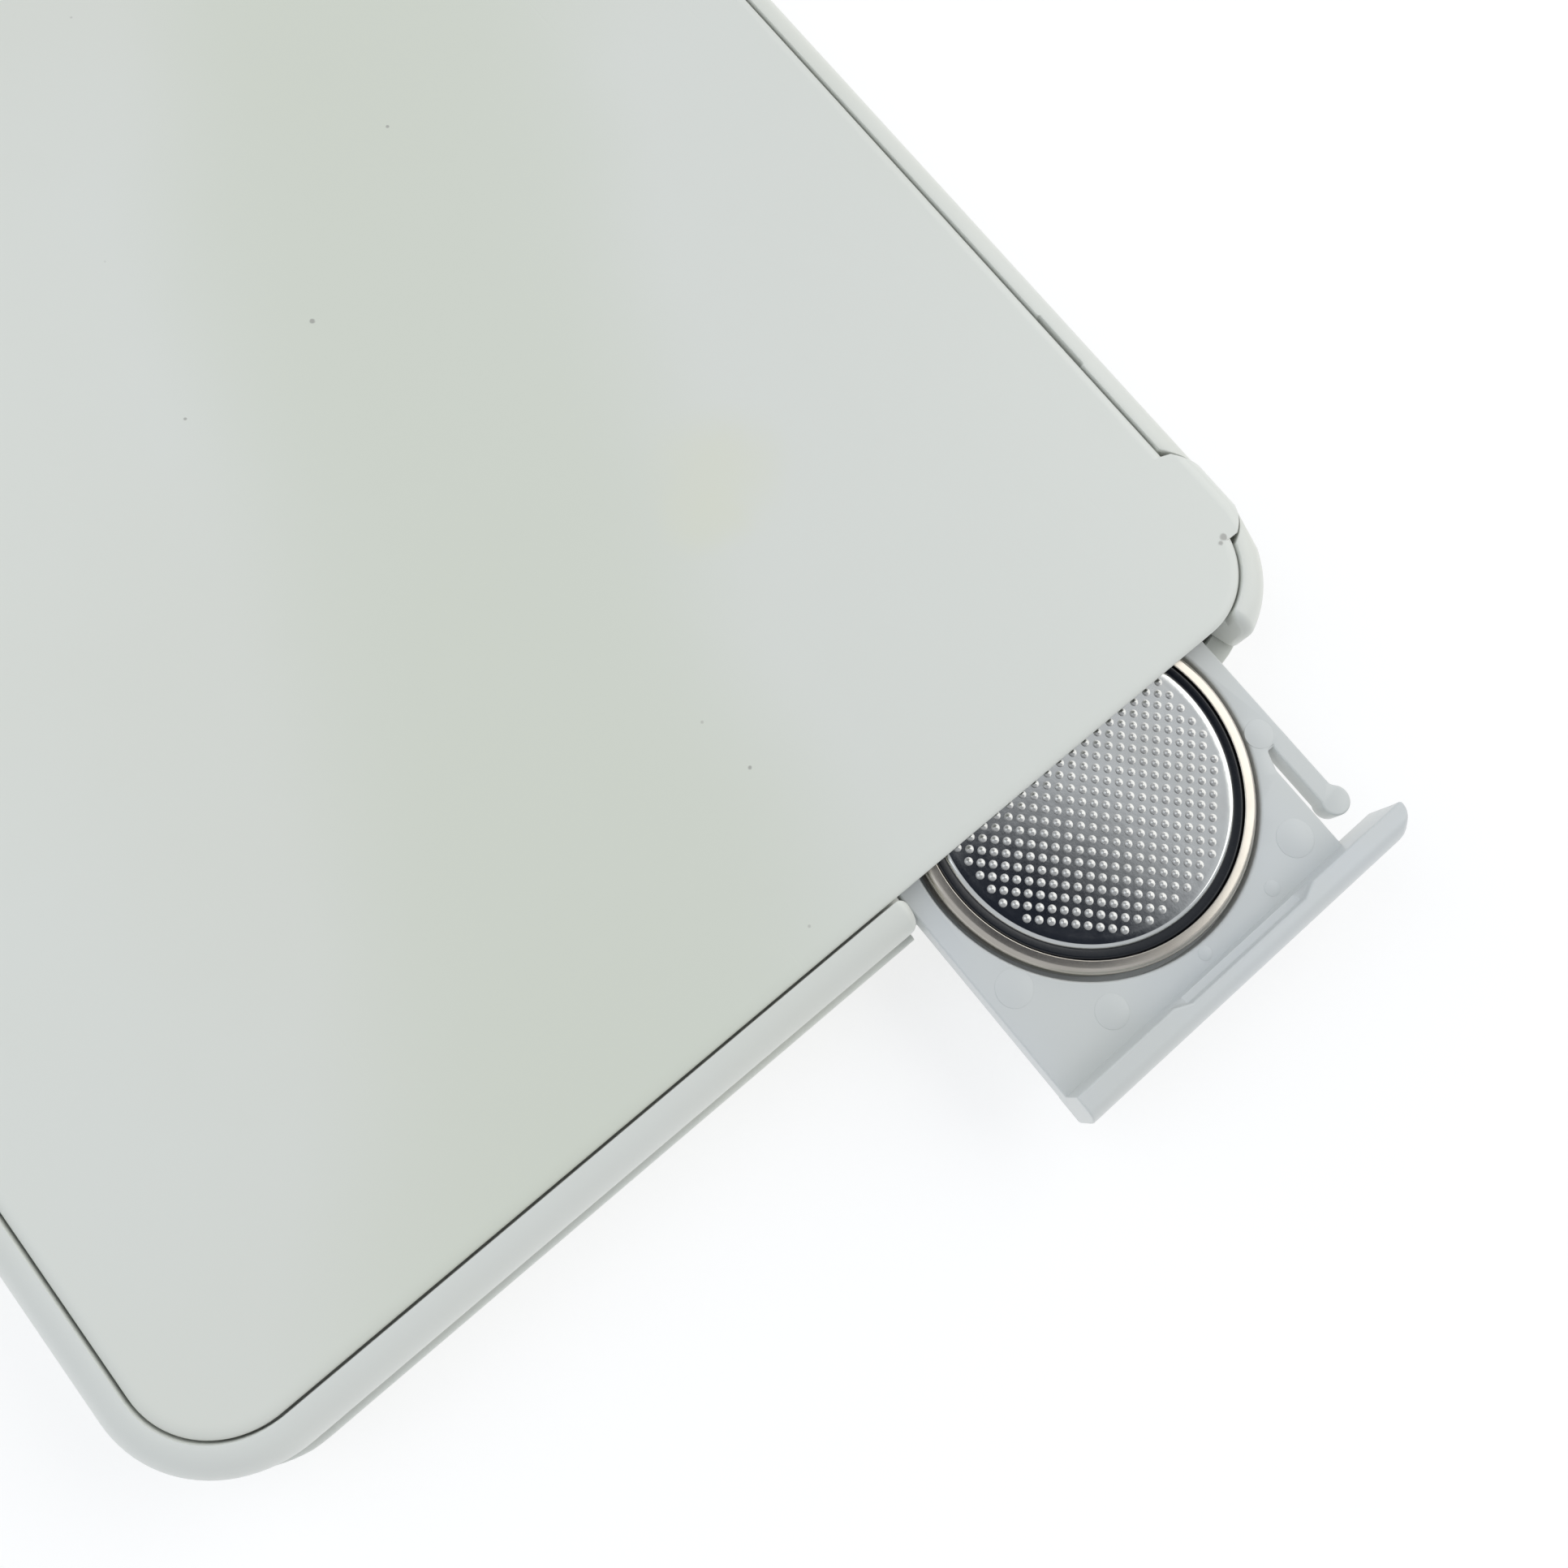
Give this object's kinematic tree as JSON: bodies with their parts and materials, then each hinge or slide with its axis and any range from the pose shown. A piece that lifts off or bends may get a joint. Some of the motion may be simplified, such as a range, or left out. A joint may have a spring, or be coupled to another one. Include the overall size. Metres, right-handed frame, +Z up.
{
  "type": "digital scale",
  "caption": "Flat white electronic scale on four weighing feet, with a coin-cell drawer drawn out of its near edge.",
  "frame": {"origin": "centre of the base shell's underside", "axes": "+X to the right, +Y towards the display and away from the drawer, +Z up through the platform"},
  "size_m": [0.0752, 0.1395, 0.0077],
  "materials": {
    "casing_plastic": "satin white",
    "drawer_plastic": "satin white",
    "bright_steel": "polished nickel plate",
    "plain_steel": "plain",
    "spring_bronze": "bright",
    "black_plastic": "matte",
    "foot_rubber": "matte",
    "display_glass": "clear",
    "smoked_window": "polished",
    "board_laminate": "solder mask",
    "ceramic": "matte",
    "foam_tape": "matte",
    "red_insulation": "matte"
  },
  "bodies": {
    "casing": {"base_shell": "casing_plastic", "battery_lead_negative": "black_plastic", "battery_lead_positive": "red_insulation", "capacitor_1": "ceramic", "capacitor_2": "ceramic", "case_screw_1": "plain_steel", "case_screw_2": "plain_steel", "case_screw_3": "plain_steel", "case_screw_4": "plain_steel", "case_screw_5": "plain_steel", "case_screw_6": "plain_steel", "casing_rim": "casing_plastic", "circuit_board": "board_laminate", "crystal": "plain_steel", "display_window": "smoked_window", "foot_1": "casing_plastic", "foot_2": "casing_plastic", "foot_3": "casing_plastic", "foot_4": "casing_plastic", "foot_pad_1": "foot_rubber", "foot_pad_2": "foot_rubber", "foot_pad_3": "foot_rubber", "foot_pad_4": "foot_rubber", "lcd_frame": "casing_plastic", "lcd_glass": "display_glass", "load_cell_1": "plain_steel", "load_cell_2": "plain_steel", "load_cell_3": "plain_steel", "load_cell_4": "plain_steel", "load_cell_lead_1": "red_insulation", "load_cell_lead_2": "red_insulation", "load_cell_lead_3": "red_insulation", "load_cell_lead_4": "red_insulation", "main_chip": "black_plastic", "negative_contact": "spring_bronze", "panel_tape": "foam_tape", "positive_contact": "spring_bronze", "snap_dome": "plain_steel", "strain_gauge_1": "ceramic", "strain_gauge_2": "ceramic", "strain_gauge_3": "ceramic", "strain_gauge_4": "ceramic", "top_panel": "casing_plastic", "zebra_strip": "black_plastic"},
    "drawer": {"battery_drawer": "drawer_plastic", "cell_can": "bright_steel", "cell_gasket": "black_plastic", "cell_cap": "bright_steel"},
    "latch": {"latch_finger": "drawer_plastic"},
    "button": {"unit_button": "casing_plastic"}
  },
  "joints": [
    {"name": "drawer_slide", "type": "slide", "parent": "casing", "child": "drawer", "axis": [0, -1, 0], "range_m": [-0.0133, 0.01]},
    {"name": "latch_flex", "type": "hinge", "parent": "drawer", "child": "latch", "pos_m": [0.03022, -0.06835, 0.0036], "axis": [0, 0, 1], "range_deg": [-7, 0], "stiffness_Nm_per_rad": 0.25},
    {"name": "unit_press", "type": "slide", "parent": "casing", "child": "button", "axis": [0, 0, 1], "range_m": [0, 0.00025], "stiffness_N_per_m": 2000}
  ]
}
